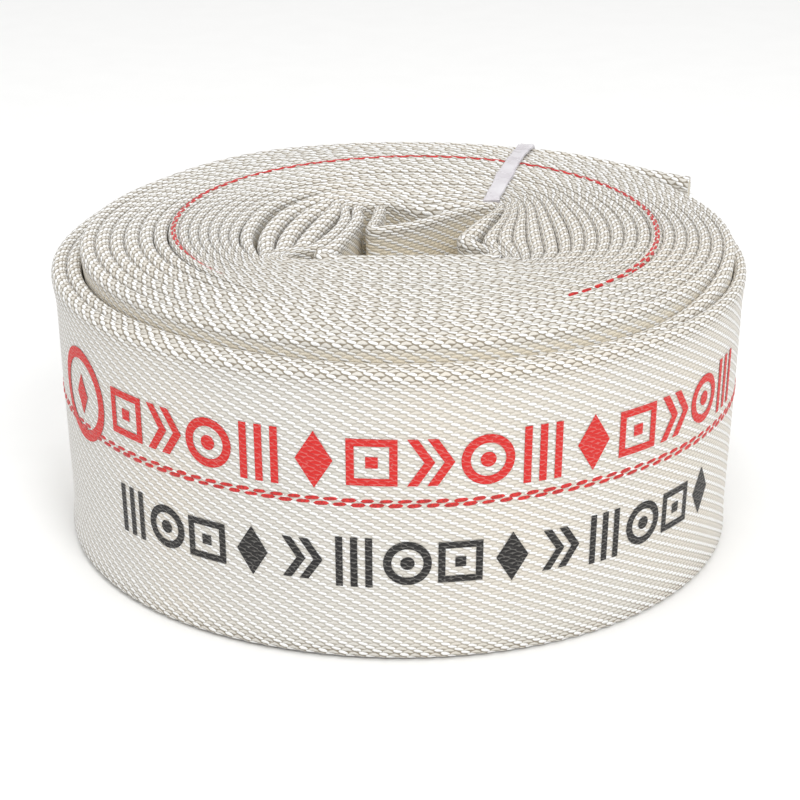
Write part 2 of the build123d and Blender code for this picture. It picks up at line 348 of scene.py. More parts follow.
def hose_vertices(rings, ring_columns, inset=0.0, mouth=None):
    """Vertex places (rings, columns, 3) of a stretch, and their weave coordinates.

    inset moves the surface into the wall; mouth gives each ring's opening at a cut end.
    """
    n = len(rings)
    z = np.empty((n, len(ring_columns)))
    across = np.empty_like(z)
    push_across = np.empty_like(z)
    push_up = np.zeros_like(z)
    fold = half_fold[rings] - inset
    middle = half_middle[rings] - inset
    if mouth is not None:
        fold = fold + mouth * 0.35
        middle = middle + mouth
    rise = FOLD_RISE * half_fold[rings] - inset
    top = upper_fold[rings] - inset
    low = lower_fold[rings] + inset
    height = top - low - 2 * rise
    for k, (_, part, angle, place) in enumerate(ring_columns):
        if place is None:
            c = math.cos(math.radians(angle))
            s = math.sin(math.radians(angle))
            across[:, k] = fold * np.sign(c) * abs(c) ** 0.85
            z[:, k] = (top - rise if part == "top" else low + rise) + rise * s
            push_across[:, k] = c
            push_up[:, k] = s
        else:
            z[:, k] = top - rise - height * place / FACE_HEIGHT
            near = sum(math.exp(-((d / FOLD_SWELL) ** 2)) for d in (place, FACE_HEIGHT - place))
            sign = 1 if part == "outer" else -1
            across[:, k] = sign * (middle + (fold - middle) * near)
            push_across[:, k] = sign
    girth = np.array([c[0] for c in ring_columns])
    u = np.broadcast_to((ring_at[rings] / FLOAT_REPEAT)[:, None], z.shape)
    v = np.broadcast_to((girth / ROWS_REPEAT)[None], z.shape)
    on_fold = np.array([nearness_to_fold(place) for *_, place in ring_columns])
    relief = (FACE_RELIEF + FOLD_RELIEF * on_fold)[None] * twill(u, v)
    if inset:
        relief = 0
    across = across + push_across * relief
    z = z + push_up * relief
    ground = lower_fold[rings][:, None]
    share_up = np.clip((z - ground) / HOSE_WIDTH, 0, 1)
    outer_turns = 1 - ease(depth_at[rings], 1, 7)[:, None]
    lean = 1 - TAPER * outer_turns * (1 - share_up) ** 1.4
    xy = line[rings][:, None, :] * lean[..., None] + outward[rings][:, None, :] * across[..., None]
    return np.dstack([xy, np.maximum(z, 0.06)]), u, v, on_fold


def quads(rings, cols, closed=True, flip=False):
    """Faces of a grid of rings by columns."""
    i, j = np.meshgrid(np.arange(rings - 1), np.arange(cols if closed else cols - 1), indexing="ij")
    a = i * cols + j
    b = i * cols + (j + 1) % cols
    faces = np.stack([a, b, b + cols, a + cols], -1).reshape(-1, 4)
    return faces[:, ::-1] if flip else faces


def end_cap(first, cols, flip):
    """Faces that close a flattened ring of points numbered from first, from the lower fold up."""
    faces = []
    low = 0
    high = cols
    while high - low > 2:
        step_low = low + 1
        step_high = high - 1
        quad = [first + k % cols for k in (low, step_low, step_high, high)]
        quad = list(dict.fromkeys(quad))
        faces.append(tuple(quad if flip else quad[::-1]))
        low = step_low
        high = step_high
    return faces


def mesh_object(name, places, faces, material, uv=None, fold=None):
    """A smooth mesh object in metres, with weave coordinates as a UV map."""
    mesh = bpy.data.meshes.new(name)
    mesh.from_pydata((np.asarray(places) * MM).tolist(), [], [list(map(int, f)) for f in faces])
    if uv is not None:
        layer = mesh.uv_layers.new(name="weave")
        layer.data.foreach_set("uv", np.asarray(uv, np.float32).ravel())
    if fold is not None:
        attribute = mesh.attributes.new("fold", "FLOAT", "POINT")
        attribute.data.foreach_set("value", np.asarray(fold, np.float32))
    mesh.polygons.foreach_set("use_smooth", [True] * len(mesh.polygons))
    mesh.materials.append(material)
    mesh.validate()
    made = bpy.data.objects.new(name, mesh)
    bpy.context.scene.collection.objects.link(made)
    return made


# --- Materials ---

def srgb(red, green, blue):
    """A linear colour from 0-255 display values."""
    values = [c / 255 for c in (red, green, blue)]
    return tuple(c / 12.92 if c <= 0.04045 else ((c + 0.055) / 1.055) ** 2.4 for c in values) + (1.0,)


YARN_WHITE = srgb(250, 250, 249)
YARN_GROUND = srgb(214, 211, 204)
# Painted warm light for the faces that the winding shelters.
YARN_PAINTED_WARM_LIGHT = srgb(252, 240, 214)
# Painted shade for the weave's slots; also the tone of the dark flecks and of the soil.
YARN_SHADE_AND_SOIL = srgb(128, 117, 98)
YARN_CREAM = srgb(221, 214, 202)
YARN_RED = srgb(216, 32, 26)
YARN_RED_DARK = srgb(158, 12, 10)
PRINT_RED = srgb(208, 20, 12)
PRINT_BLACK = srgb(14, 10, 10)
FILM = srgb(222, 217, 222)
LINING = srgb(226, 221, 208)


class Graph:
    """Builds one material's nodes."""

    def __init__(self, name):
        self.material = bpy.data.materials.new(name)
        self.material.use_nodes = True
        self.tree = self.material.node_tree
        self.shader = self.tree.nodes["Principled BSDF"]

    def add(self, kind, out=0, inputs=(), **settings):
        """Adds a node; inputs are (socket, value or socket) pairs. Returns its output."""
        made = self.tree.nodes.new("ShaderNode" + kind)
        for key, value in settings.items():
            setattr(made, key, value)
        for socket, value in inputs:
            self.feed(made.inputs[socket], value)
        return made.outputs[out]

    def feed(self, socket, value):
        """Links a socket into another, or sets it to a value."""
        if isinstance(value, bpy.types.NodeSocket):
            self.tree.links.new(value, socket)
        else:
            socket.default_value = value

    def math(self, operation, *values, clamp=False):
        return self.add("Math", inputs=enumerate(values), operation=operation, use_clamp=clamp)

    def rise(self, value, low, high):
        """A smooth step from 0 at low to 1 at high."""
        inputs = (("Value", value), ("From Min", low), ("From Max", high))
        return self.add("MapRange", inputs=inputs, interpolation_type="SMOOTHSTEP")

    def mix(self, share, first, second):
        """A blend of two colours: the second where share is 1."""
        made = self.tree.nodes.new("ShaderNodeMix")
        made.data_type = "RGBA"
        # A mix node has one set of sockets for each kind of value; these are the colour ones.
        for number, value in ((0, share), (6, first), (7, second)):
            self.feed(made.inputs[number], value)
        return made.outputs[2]

    def noise(self, scale, detail=2.0, roughness=0.5):
        """Noise in the object's own space, with scale in repeats per metre."""
        place = self.add("TexCoord", out=3)
        inputs = (("Vector", place), ("Scale", scale), ("Detail", detail), ("Roughness", roughness))
        return self.add("TexNoise", inputs=inputs)

    def bump(self, height, distance, strength=1.0):
        inputs = (("Strength", strength), ("Distance", distance), ("Height", height))
        return self.add("Bump", inputs=inputs)


def weave_cells(graph):
    """Places inside one cell of the weave: along its repeat, across its row, and across its float."""
    place = graph.add("UVMap", uv_map="weave")
    apart = graph.tree.nodes.new("ShaderNodeSeparateXYZ")
    graph.feed(apart.inputs[0], place)
    along, round_girth = apart.outputs[0], apart.outputs[1]
    # The yarns wander a little from their rows.
    wobble = graph.noise(420.0, 1.0)
    shaken = graph.math("MULTIPLY_ADD", wobble, 0.5, -0.25)
    rows = graph.math("MULTIPLY_ADD", round_girth, ROWS_IN_REPEAT, shaken)
    row = graph.math("FLOOR", rows)
    in_row = graph.math("SUBTRACT", graph.math("SUBTRACT", rows, row), 0.5)
    # Floats step one third of a repeat from row to row, and tilt a little.
    stepped = graph.math("MULTIPLY_ADD", row, -1 / ROWS_IN_REPEAT, along)
    slid = graph.math("ADD", stepped, graph.math("MULTIPLY", shaken, 0.12))
    in_repeat = graph.math("SUBTRACT", graph.math("FRACT", slid), 0.5)
    tilted = graph.math("MULTIPLY_ADD", in_repeat, -0.9, in_row)
    return in_repeat, in_row, tilted


def blob(graph, x, y, half_length, half_width):
    """1 at the middle of a rounded bar, 0 outside it."""
    far_x = graph.math("POWER", graph.math("ABSOLUTE", graph.math("DIVIDE", x, half_length)), 2.6)
    far_y = graph.math("POWER", graph.math("ABSOLUTE", graph.math("DIVIDE", y, half_width)), 2.0)
    return graph.math("SUBTRACT", 1.0, graph.math("ADD", far_x, far_y), clamp=True)


def weave_relief(graph):
    """The bright floats of the twill and its whole relief, each 0 to 1."""
    x, y, across_float = weave_cells(graph)
    bright = blob(graph, x, across_float, 0.25, 0.47)
    beside = graph.math("SUBTRACT", graph.math("ABSOLUTE", x), 0.5)
    crossed = graph.math("MULTIPLY_ADD", beside, 1.6, y)
    soft = blob(graph, beside, crossed, 0.30, 0.56)
    relief = graph.math("MAXIMUM", bright, graph.math("MULTIPLY", soft, 0.5))
    return bright, relief


def woven_material():
    """Undyed polyester twill: bright floats over a cream ground, with painted shade in the slots, deepest
    on the folds, and painted warm light where the winding shelters it.
    """
    g = Graph("woven_jacket")
    bright, relief = weave_relief(g)
    fold = g.add("Attribute", out=2, attribute_name="fold")
    # Painted shade: the slots between the floats are darkened, more on the folds.
    slots = g.math("SUBTRACT", 1.0, g.rise(relief, 0.0, 0.34))
    depth = g.math("MULTIPLY", slots, g.math("MULTIPLY_ADD", fold, 0.52, 0.36))
    patches = g.rise(g.noise(9.0, 3.0), 0.40, 0.68)
    strands = g.noise(2600.0, 2.0)
    # Faces that the winding shelters get a painted warm light: a lighter cream ground, and half the
    # painted slot shade.
    sheltered_painted_light = g.add("Attribute", out=2, attribute_name="sheltered_painted_light")
    open_ground = g.mix(patches, YARN_GROUND, YARN_CREAM)
    ground = g.mix(g.math("MULTIPLY", sheltered_painted_light, 0.85), open_ground, YARN_PAINTED_WARM_LIGHT)
    lit = g.mix(g.rise(bright, 0.05, 0.55), ground, YARN_WHITE)
    shown_slot_shade = g.math("MULTIPLY", depth, g.math("MULTIPLY_ADD", sheltered_painted_light, -0.5, 1.0))
    slot_shaded = g.mix(shown_slot_shade, lit, YARN_SHADE_AND_SOIL)
    flecked = g.mix(g.math("MULTIPLY", g.rise(strands, 0.52, 0.70), 0.16), slot_shaded, YARN_SHADE_AND_SOIL)
    soil = g.rise(g.noise(26.0, 4.0, 0.6), 0.60, 0.78)
    g.feed(g.shader.inputs["Base Color"], g.mix(g.math("MULTIPLY", soil, 0.10), flecked, YARN_SHADE_AND_SOIL))
    g.feed(g.shader.inputs["Roughness"], g.math("MULTIPLY_ADD", bright, -0.22, 0.74))
    g.shader.inputs["Sheen Weight"].default_value = 0.25
    g.shader.inputs["Sheen Roughness"].default_value = 0.45
    g.shader.inputs["Specular IOR Level"].default_value = 0.35
    height = g.math("ADD", relief, g.math("MULTIPLY", strands, 0.22))
    g.feed(g.shader.inputs["Normal"], g.bump(height, 0.00042, 0.9))
    return g.material


def yarn_material(name, colour, dark):
    """Dyed marker yarn: twisted filaments."""
    g = Graph(name)
    filaments = g.noise(1500.0, 3.0, 0.6)
    g.feed(g.shader.inputs["Base Color"], g.mix(g.rise(filaments, 0.38, 0.62), dark, colour))
    g.feed(g.shader.inputs["Roughness"], g.math("MULTIPLY_ADD", filaments, 0.3, 0.38))
    g.shader.inputs["Sheen Weight"].default_value = 0.2
    g.feed(g.shader.inputs["Normal"], g.bump(filaments, 0.0002, 0.6))
    return g.material


def print_material(name, colour):
    """Ink that sits on the floats and misses some of the slots between them."""
    g = Graph(name)
    bright, relief = weave_relief(g)
    missed = g.math("MULTIPLY", g.math("SUBTRACT", 1.0, g.rise(relief, 0.0, 0.12)), 0.16)
    worn = g.math("MULTIPLY", g.rise(g.noise(700.0, 3.0, 0.6), 0.60, 0.75), 0.22)
    bare = g.math("MAXIMUM", missed, worn)
    g.feed(g.shader.inputs["Base Color"], g.mix(bare, colour, YARN_GROUND))
    g.feed(g.shader.inputs["Roughness"], g.math("MULTIPLY_ADD", bright, -0.2, 0.62))
    g.feed(g.shader.inputs["Normal"], g.bump(relief, 0.0003, 0.8))
    return g.material


def film_material():
    """Thin crumpled packing film, see-through and shiny."""
    g = Graph("tie_film")
    creases = g.noise(55.0, 4.0, 0.65)
    milky = g.rise(creases, 0.35, 0.70)
    g.feed(g.shader.inputs["Base Color"], g.mix(milky, FILM, srgb(242, 240, 243)))
    g.feed(g.shader.inputs["Roughness"], g.math("MULTIPLY_ADD", milky, 0.22, 0.20))
    g.shader.inputs["Alpha"].default_value = 0.66
    g.shader.inputs["IOR"].default_value = 1.49
    g.feed(g.shader.inputs["Normal"], g.bump(creases, 0.0008, 0.5))
    return g.material


def lining_material():
    """Bonded polyurethane lining: smooth, faintly pitted by the weave behind it."""
    g = Graph("hose_lining")
    pits = g.noise(900.0, 3.0, 0.55)
    g.feed(g.shader.inputs["Base Color"], g.mix(g.rise(pits, 0.4, 0.7), LINING, srgb(206, 199, 182)))
    g.feed(g.shader.inputs["Roughness"], g.math("MULTIPLY_ADD", pits, 0.25, 0.32))
    g.feed(g.shader.inputs["Normal"], g.bump(pits, 0.00025, 0.5))
    return g.material


def floor_material():
    """Plain pale studio floor."""
    g = Graph("studio_floor")
    grain = g.noise(35.0, 3.0)
    g.feed(g.shader.inputs["Base Color"], g.mix(grain, srgb(250, 250, 249), srgb(246, 246, 245)))
    g.feed(g.shader.inputs["Roughness"], g.math("MULTIPLY_ADD", grain, 0.1, 0.7))
    return g.material


woven = woven_material()
marker_yarn = yarn_material("marker_yarn", YARN_RED, YARN_RED_DARK)
loose_yarn = yarn_material("loose_yarn", YARN_WHITE, YARN_GROUND)
red_ink = print_material("red_ink", PRINT_RED)
black_ink = print_material("black_ink", PRINT_BLACK)
film = film_material()
lining = lining_material()


# --- The hose's pieces ---

MOUTH_GAPE = 0.9  # each half of the hose swells this much at its open ends
MOUTH_LENGTH = 16.0
MOUTH_RINGS = 13

def rings_between(start, stop):
    """Ring numbers of a stretch, given by distances along the hose."""
    first = int(np.searchsorted(ring_at, start - 1e-6))
    last = int(np.searchsorted(ring_at, stop - 1e-6))
    return np.arange(first, min(last + 1, len(ring_at)))


def at_winding(angle):
    """Distance along the hose of this winding angle."""
    return float(np.interp(angle, winding_at, ring_at))


def hose_piece(name, start, stop, shown_outside=False, open_start=False, open_stop=False):
    """A stretch of the jacket, closed at its cuts and hollow at a real open end."""
    ring_columns = columns(shown_outside)
    cols = len(ring_columns)
    rings = rings_between(start, stop)
    mouth = np.zeros(len(rings))
    if open_start:
        mouth += MOUTH_GAPE * (1 - ease(ring_at[rings] - ring_at[rings[0]], 0, MOUTH_LENGTH))
    if open_stop:
        mouth += MOUTH_GAPE * (1 - ease(ring_at[rings[-1]] - ring_at[rings], 0, MOUTH_LENGTH))
    places, u, v, on_fold = hose_vertices(rings, ring_columns, 0.0, mouth)
    faces = list(quads(len(rings), cols))
    total = len(rings) * cols
    points = [places.reshape(-1, 3)]
    us, vs = [u.ravel()], [v.ravel()]
    folds = [np.tile(on_fold, len(rings))]
    cap_faces = []
    for is_open, at_first in ((open_start, True), (open_stop, False)):
        edge = 0 if at_first else len(rings) - 1
        if not is_open:
            first_cap_face = len(faces)
            faces += end_cap(edge * cols, cols, at_first)
            cap_faces += range(first_cap_face, len(faces))
            continue
        # The wall's cut edge, and the jacket's inside down to a closed throat.
        depth = np.arange(MOUTH_RINGS)
        inner_rings = rings[depth] if at_first else rings[len(rings) - 1 - depth]
        inner, iu, iv, _ = hose_vertices(inner_rings, ring_columns, WALL, mouth[inner_rings - rings[0]])
        points.append(inner.reshape(-1, 3))
        us.append(iu.ravel())
        vs.append(iv.ravel())
        folds.append(np.zeros(inner.shape[0] * cols))
        for j in range(cols):
            a = edge * cols + j
            b = edge * cols + (j + 1) % cols
            c = total + (j + 1) % cols
            d = total + j
            faces.append((d, c, b, a) if at_first else (a, b, c, d))
        inside = quads(MOUTH_RINGS, cols, flip=not at_first) + total
        faces += list(inside[:, ::-1])
        faces += end_cap(total + (MOUTH_RINGS - 1) * cols, cols, at_first)
        total += MOUTH_RINGS * cols
    faces = [tuple(int(k) for k in f) for f in faces]
    uv_u = np.concatenate(us)
    uv_v = np.concatenate(vs)
    # A triangle repeats its last corner here, so that all faces unwrap at once.
    sizes_of = np.array([len(f) for f in faces])
    corner = np.array([f + f[-1:] * (4 - len(f)) for f in faces])
    corner_v = uv_v[corner]
    # The last column's faces wrap round the lower fold.
    whole = 2 * HALF_GIRTH / ROWS_REPEAT
    spread = corner_v.max(1, keepdims=True) - corner_v
    wraps = (corner_v.max(1) - corner_v.min(1)) > whole * 0.6
    corner_v = np.where(wraps[:, None] & (spread > whole * 0.5), corner_v + whole, corner_v)
    real = np.arange(4)[None] < sizes_of[:, None]
    uv = np.stack([uv_u[corner], corner_v], -1)[real]
    piece = mesh_object(name, np.vstack(points), faces, woven, uv, np.concatenate(folds))
    # A mask for the painted warm light on the faces that the winding shelters.
    sheltered_painted_light = np.zeros(len(piece.data.vertices), np.float32)
    if not shown_outside:
        sheltered_painted_light = (1 - np.concatenate(folds)).astype(np.float32)
    attribute = piece.data.attributes.new("sheltered_painted_light", "FLOAT", "POINT")
    attribute.data.foreach_set("value", sheltered_painted_light)
    # Flat caps with sharp borders, so that the sides keep an even shading up to a cut.
    capped = set()
    for number in cap_faces:
        piece.data.polygons[number].use_smooth = False
        capped.update(faces[number])
    for edge in piece.data.edges:
        if capped.issuperset(edge.vertices):
            edge.use_edge_sharp = True
    return piece


def lining_piece(name, at_first, reach):
    """The lining's lips just inside an open end: a flattened tube with a narrow bore."""
    ring_columns = columns(False)
    cols = len(ring_columns)
    count = int(reach / RING_STEP)
    rings = np.arange(count) if at_first else len(ring_at) - 1 - np.arange(count)
    gape = MOUTH_GAPE * (1 - ease(np.arange(count) * RING_STEP, 0, MOUTH_LENGTH))
    back, *_ = hose_vertices(rings, ring_columns, WALL + BOND_GAP, gape)
    bore, *_ = hose_vertices(rings, ring_columns, WALL + BOND_GAP + LINING_WALL, gape)
    outer = quads(count, cols, flip=not at_first)
    inner = quads(count, cols, flip=at_first) + count * cols
    faces = [tuple(f) for f in np.vstack([outer, inner])]
    for ring in (0, count - 1):
        for j in range(cols):
            a = ring * cols + j
            b = ring * cols + (j + 1) % cols
            quad = (a, b, b + count * cols, a + count * cols)
            faces.append(quad if (ring == 0) != at_first else quad[::-1])
    places = np.vstack([back.reshape(-1, 3), bore.reshape(-1, 3)])
    piece = mesh_object(name, places, faces, lining)
    return piece


# Each piece starts where its neighbour's blend is over.
FIRST_SEAM = STOPS["tail_start"] + 9.0
MIDDLE_SEAM = STOPS["tail_middle"] + 9.0
SECOND_TURN = at_winding(452.0)  # inward of here the winding hides the outer face

tail_end = hose_piece("hose_tail_end", 0.0, MIDDLE_SEAM, True, open_start=True)
tail_root = hose_piece("hose_tail_root", MIDDLE_SEAM, FIRST_SEAM, True)
outer_turn = hose_piece("hose_outer_turn", FIRST_SEAM, SECOND_TURN, True)
second_turn = hose_piece("hose_second_turn", SECOND_TURN, at_winding(OUTER_STOP))

core_stops = [at_winding(OUTER_STOP + CORE_TURNS * k) for k in range(4)] + [STOPS["run_end"]]
CORE_NAMES = ("outermost", "outer", "inner", "innermost")
for place, start, stop in zip(CORE_NAMES, core_stops, core_stops[1:]):
    core = hose_piece(f"hose_core_{place}", start, stop)
    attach(core, "roll")
    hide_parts(f"jacket_core_{place}", f"lining_core_{place}")

flap = hose_piece("hose_inner_flap", STOPS["run_end"], HOSE_LENGTH, open_stop=True)
tail_lining = lining_piece("hose_lining_tail_end", True, MOUTH_LENGTH)
flap_lining = lining_piece("hose_lining_inner_flap", False, MOUTH_LENGTH)

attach(second_turn, "roll")
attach(outer_turn, "roll")
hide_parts("jacket_outer_turns", "lining_outer_turns")


# --- The free ends ---


def tail_blend(piece):
    """Bakes the transform of a piece of the free outer end into its mesh, without bending it."""
    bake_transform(piece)


tail_blend(tail_root)
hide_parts("jacket_tail_root", "lining_tail_root")
tail_blend(tail_end)
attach(tail_lining, "tail_end")
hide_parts("jacket_tail_end")
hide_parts("lining_tail_end")

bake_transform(flap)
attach(flap_lining, "inner_flap")
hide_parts("jacket_inner_flap")
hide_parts("lining_inner_flap")


# --- Marker yarns ---

def skin(distance, height, proud=0.0):
    """The outer face's place at this distance along the hose and height above the floor."""
    distance = np.asarray(distance, float)
    plan = np.stack([np.interp(distance, ring_at, line[:, k]) for k in (0, 1)], -1)
    away = np.stack([np.interp(distance, ring_at, outward[:, k]) for k in (0, 1)], -1)
    away /= np.linalg.norm(away, axis=-1)[..., None]
    ground = np.interp(distance, ring_at, lower_fold)
    half = np.interp(distance, ring_at, half_middle) + MOUTH_GAPE * (1 - ease(distance, 0, MOUTH_LENGTH))
    share_up = np.clip((height - ground) / HOSE_WIDTH, 0, 1)
    lean = 1 - TAPER * (1 - share_up) ** 1.4
    xy = plan * lean[..., None] + away * (half + proud)[..., None]
    return np.concatenate([xy, np.broadcast_to(height, distance.shape)[..., None]], -1)


def fold_top(distance, across, proud=0.0):
    """A place on the upper fold, this far outward from its crown."""
    distance = np.asarray(distance, float)
    plan = np.stack([np.interp(distance, ring_at, line[:, k]) for k in (0, 1)], -1)
    away = np.stack([np.interp(distance, ring_at, outward[:, k]) for k in (0, 1)], -1)
    half = np.interp(distance, ring_at, half_fold)
    top = np.interp(distance, ring_at, upper_fold)
    drop = FOLD_RISE * half * (1 - np.sqrt(np.clip(1 - (across / half) ** 2, 0, 1)))
    xy = plan + away * np.asarray(across)[..., None]
    return np.concatenate([xy, (top - drop + proud)[..., None]], -1)


STITCH_PITCH = 6.0
STITCH_LENGTH = 5.0
STITCH_HALF_WIDTH = 0.74
STITCH_HEIGHT = 0.34
STRAND_SPACING = 1.5
FOLD_STRAND_SHARE = 0.62  # the strands lie closer together over a fold
MARKER_HEIGHT = 58.0


def stitches(name, start, stop, place):
    """Two strands of short proud stitches; place(distance, side, lift) puts a point on the hose."""
    along = np.linspace(-1, 1, 7)
    taper = np.sqrt(np.clip(1 - np.abs(along) ** 3, 0, 1)) + 0.02
    round_top = np.radians(np.linspace(0, 180, 6))
    points = []
    faces = []
    for strand in (-1, 1):
        first = start + (0.5 if strand > 0 else 0.0) * STITCH_PITCH
        for middle in np.arange(first, stop - STITCH_PITCH, STITCH_PITCH):
            length = STITCH_LENGTH * rng.uniform(0.9, 1.08)
            width = STITCH_HALF_WIDTH * rng.uniform(0.85, 1.1)
            sway = rng.normal(0, 0.07)
            base = len(points) * len(along) * len(round_top)
            at = np.tile((middle + along * length / 2)[:, None], len(round_top))
            side = taper[:, None] * width * np.cos(round_top) + sway + 0.16 * along[:, None]
            lift = taper[:, None] * STITCH_HEIGHT * np.sin(round_top) - 0.03
            points.append(place(at, strand * STRAND_SPACING / 2 + side, lift).reshape(-1, 3))
            faces += [tuple(f) for f in quads(len(along), len(round_top), closed=False, flip=True) + base]
    piece = mesh_object(name, np.vstack(points), faces, marker_yarn)
    return piece


def on_face(at, side, lift):
    return skin(at, MARKER_HEIGHT + side, lift)


def over_fold(at, side, lift):
    start, stop = at_winding(MARKED_START), at_winding(MARKED_STOP)
    # The yarns come over the fold from its outer side and go down on its inner side.
    share = (at - start) / (stop - start)
    drift = 2.0 * (1 - ease(share, 0, 0.22)) - 1.9 * ease(share, 0.86, 1)
    return fold_top(at, FOLD_STRAND_SHARE * side + drift, lift + 0.05)


marker_outer = stitches("marker_yarns_outer", FIRST_SEAM, at_winding(OUTER_STOP), on_face)
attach(marker_outer, "roll")
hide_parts("marker_yarns_outer_turns")
marker_core = stitches("marker_yarns_fold", at_winding(MARKED_START), at_winding(MARKED_STOP), over_fold)
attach(marker_core, "roll")
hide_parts("marker_yarns_core_turn")
marker_root = stitches("marker_yarns_tail_root_stitches", MIDDLE_SEAM, FIRST_SEAM + 3.0, on_face)
tail_blend(marker_root)
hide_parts("marker_yarns_tail_root")
marker_end = stitches("marker_yarns_tail_end_stitches", 0.5, MIDDLE_SEAM + 3.0, on_face)
tail_blend(marker_end)
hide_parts("marker_yarns_tail_end")


# --- Generic printed marks ---

INK_PROUD = 0.24


class Marks:
    """Collects flat shapes, given along the hose and up it, for one colour of ink."""

    def __init__(self):
        self.points = []
        self.faces = []
        self.count = 0

    def patch(self, corners):
        """A four-sided shape, divided finely enough to follow the roll."""
        a, b, c, d = (np.array(corner, float) for corner in corners)
        across = max(2, int(max(np.linalg.norm(b - a), np.linalg.norm(c - d)) / 1.2) + 1)
        up = max(2, int(max(np.linalg.norm(d - a), np.linalg.norm(c - b)) / 2.5) + 1)
        s, t = np.meshgrid(np.linspace(0, 1, across), np.linspace(0, 1, up), indexing="ij")
        flat = (
            a * ((1 - s) * (1 - t))[..., None]
            + b * (s * (1 - t))[..., None]
            + c * (s * t)[..., None]
            + d * ((1 - s) * t)[..., None]
        )
        self.grid(flat)

    def grid(self, flat):
        rows, cols = flat.shape[:2]
        self.points.append(flat.reshape(-1, 2))
        self.faces += [tuple(f) for f in quads(rows, cols, closed=False) + self.count]
        self.count += rows * cols

    def bar(self, x, y, width, height):
        """An upright bar with its middle at x, y."""
        w, h = width / 2, height / 2
        self.patch([(x - w, y - h), (x + w, y - h), (x + w, y + h), (x - w, y + h)])

    def ring(self, x, y, outer, inner):
        """A ring, or a disc when inner is nearly 0."""
        turn = np.radians(np.linspace(0, 360, 49))[:, None]
        reach = np.linspace(outer, max(inner, 0.05), 4)[None]
        self.grid(np.stack([x + reach * np.cos(turn), y + reach * np.sin(turn)], -1))

    def diamond(self, x, y, width, height):
        w, h = width / 2, height / 2
        self.patch([(x, y - h), (x + w, y), (x, y + h), (x - w, y)])

    def chevron(self, x, y, size, thick):
        for way in (-1, 1):
            h = way * size / 2
            run = [(x - thick, y + h), (x, y + h), (x + size / 3, y), (x + size / 3 - thick, y)]
            self.patch(run if way < 0 else run[::-1])

    def frame(self, x, y, size, thick):
        """A hollow square."""
        reach = (size - thick) / 2
        for way in (-1, 1):
            self.bar(x + way * reach, y, thick, size)
            self.bar(x, y + way * reach, size - 2 * thick, thick)

    def build(self, name, ink):
        flat = np.vstack(self.points)
        places = skin(flat[:, 0], flat[:, 1], INK_PROUD)
        uv = np.stack([flat[:, 0] / FLOAT_REPEAT, skin_girth(flat[:, 1]) / ROWS_REPEAT], 1)
        faces = np.array(self.faces)
        piece = mesh_object(name, places, self.faces, ink, uv[faces])
        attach(piece, "roll")
        return piece


def skin_girth(height):
    """Girth from the upper fold at this height on the outer face of the low turns."""
    return FOLD_ARC + (HOSE_WIDTH - 2.2 - height) * GIRTH_PER_FACE


def mark_row(marks, kinds, first, last, middle, tall, pitch):
    """A row of simple marks, one kind after another, between two winding angles."""
    places = np.arange(at_winding(first), at_winding(last), pitch)
    for number, x in enumerate(places):
        kind = kinds[number % len(kinds)]
        if kind == "bars":
            for k in (-1, 0, 1):
                marks.bar(x + k * tall * 0.27, middle, tall * 0.13, tall)
        elif kind == "frame":
            marks.frame(x, middle, tall * 0.82, tall * 0.13)
            marks.bar(x, middle, tall * 0.2, tall * 0.2)
        elif kind == "chevrons":
            marks.chevron(x - tall * 0.2, middle, tall * 0.82, tall * 0.17)
            marks.chevron(x + tall * 0.12, middle, tall * 0.82, tall * 0.17)
        elif kind == "diamond":
            marks.diamond(x, middle, tall * 0.62, tall)
        elif kind == "ring":
            marks.ring(x, middle, tall * 0.44, tall * 0.29)
            marks.ring(x, middle, tall * 0.13, 0.0)


red_marks = Marks()
mark_row(red_marks, ("frame", "chevrons", "ring", "bars", "diamond"), 217, 338, 72.5, 20.0, 18.6)
red_marks.ring(at_winding(203.0), 70.0, 17.0, 13.0)
red_marks.diamond(at_winding(203.0), 70.0, 9.0, 15.0)
red_marks.build("print_red_marks", red_ink)
black_marks = Marks()
mark_row(black_marks, ("bars", "ring", "frame", "diamond", "chevrons"), 217, 332, 36.5, 18.0, 17.4)
black_marks.build("print_black_marks", black_ink)


# --- Film tie ---

TIE_INSIDE = np.array([35.6, 38.2])
TIE_OUTSIDE = skin(at_winding(69.6), 90.0, 1.2)[:2]
TIE_HALF_WIDTH = 3.1
TIE_LOW = CORE_LIFT - 1.0
FILM_HALF = 0.09


def tie_path():
    """The closed loop's middle line as (distance from the hollow, height), rounded at its corners."""
    far = float(np.linalg.norm(TIE_OUTSIDE - TIE_INSIDE))
    top = CORE_LIFT + HOSE_WIDTH + 0.5
    corners = [
        (0, TIE_LOW + 1.5), (0, 40), (0, top - 14), (0.1, top - 2.5), (1.8, top + 0.1),
        (far * 0.2, top + 1.0), (far * 0.45, top + 2.2), (far * 0.7, top + 2.1), (far * 0.92, top + 0.8),
        (far - 0.2, top + 0.2), (far + 2.0, top - 2.6), (far + 1.7, top - 14), (far + 0.6, 40),
        (far - 0.9, TIE_LOW + 1.5), (far - 2.6, TIE_LOW), (far * 0.5, TIE_LOW - 0.2), (2.0, TIE_LOW),
    ]
    return smooth(corners, closed=True, steps=12)


